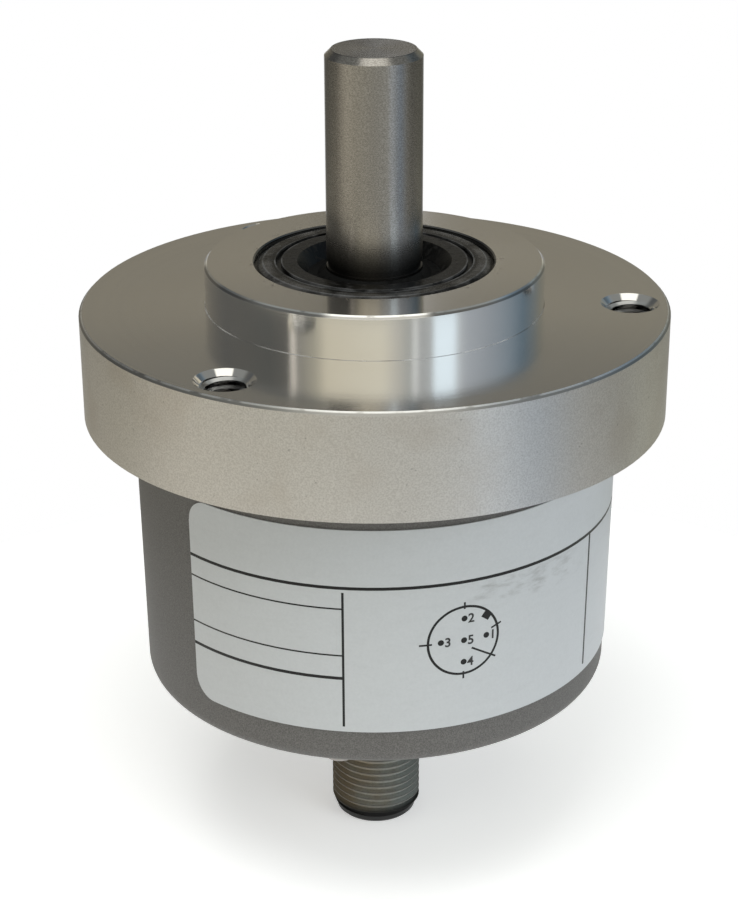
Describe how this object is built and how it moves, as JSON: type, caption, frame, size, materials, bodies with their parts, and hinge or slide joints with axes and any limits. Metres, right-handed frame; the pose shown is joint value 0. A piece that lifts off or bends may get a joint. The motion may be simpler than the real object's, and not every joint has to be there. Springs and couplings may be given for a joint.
{
  "type": "incremental rotary encoder",
  "caption": "Round incremental rotary encoder with a flange and centring collar, a solid shaft, a sealed cup cover and an axial screw-on plug connector.",
  "frame": {"origin": "where the shaft's axis meets the flange's mounting face, at the foot of the centring collar", "axes": "+Z along the shaft, out of the mounting face; -Y towards the middle of the label"},
  "size_m": [0.074, 0.074, 0.106],
  "materials": {
    "turned_aluminium": "fine-turned, bare",
    "ground_steel": "ground",
    "seal_rubber": "moulded, satin",
    "seal_steel": "pressed",
    "cover_paint": "fine-textured matt grey",
    "screw_steel": "zinc plated",
    "ring_rubber": "smooth",
    "label_film": "satin film",
    "connector_nickel": "nickel-plated brass",
    "insert_plastic": "moulded",
    "contact_gold": "gold plated",
    "board_resin": "solder mask",
    "ribbon_film": "amber film",
    "socket_plastic": "moulded",
    "chip_plastic": "moulded",
    "capacitor_ceramic": "ceramic",
    "optical_glass": "polished",
    "hub_aluminium": "turned",
    "holder_plastic": "moulded",
    "lamp_resin": "clear resin",
    "lead_tin": "tinned",
    "pillar_brass": "turned",
    "bearing_steel": "ground and honed",
    "spring_steel": "blackened",
    "cage_plastic": "moulded"
  },
  "bodies": {
    "housing": {"board_capacitors": "capacitor_ceramic", "board_chips": "chip_plastic", "circuit_board": "board_resin", "connector_contacts": "contact_gold", "connector_face_seal": "ring_rubber", "connector_insert": "insert_plastic", "connector_nut": "connector_nickel", "connector_shell": "connector_nickel", "contact_board": "board_resin", "cover": "cover_paint", "cover_screws": "screw_steel", "cover_seal": "ring_rubber", "flange": "turned_aluminium", "flex_ribbon": "ribbon_film", "front_bearing_outer_ring": "bearing_steel", "front_pillars": "pillar_brass", "housing_circlip": "spring_steel", "label": "label_film", "led": "lamp_resin", "led_holder": "holder_plastic", "led_holder_screws": "screw_steel", "led_leads": "lead_tin", "opto_sensor": "chip_plastic", "outer_spacer": "bearing_steel", "preload_spring": "spring_steel", "rear_bearing_outer_ring": "bearing_steel", "rear_pillars": "pillar_brass", "reticle": "optical_glass", "ribbon_socket": "socket_plastic", "seal_case": "seal_steel", "shaft_seal": "seal_rubber"},
    "rotor": {"shaft": "ground_steel", "front_bearing_inner_ring": "bearing_steel", "rear_bearing_inner_ring": "bearing_steel", "inner_spacer": "bearing_steel", "shaft_circlip": "spring_steel", "disc_hub": "hub_aluminium", "hub_set_screw": "screw_steel", "code_disc": "optical_glass", "disc_clamp_nut": "hub_aluminium"},
    "front_cage": {"front_bearing_cage": "cage_plastic"},
    "rear_cage": {"rear_bearing_cage": "cage_plastic"}
  },
  "joints": [
    {"name": "shaft_spin", "type": "hinge", "parent": "housing", "child": "rotor", "pos_m": [0, 0, 0], "axis": [0, 0, 1], "continuous": true},
    {"name": "front_cage_spin", "type": "hinge", "parent": "housing", "child": "front_cage", "pos_m": [0, 0, -0.0072], "axis": [0, 0, 1], "continuous": true},
    {"name": "rear_cage_spin", "type": "hinge", "parent": "housing", "child": "rear_cage", "pos_m": [0, 0, -0.0232], "axis": [0, 0, 1], "continuous": true}
  ],
  "couplings": [
    {"joint": "front_cage_spin", "follows": "shaft_spin", "ratio": 0.38095},
    {"joint": "rear_cage_spin", "follows": "shaft_spin", "ratio": 0.38095}
  ]
}
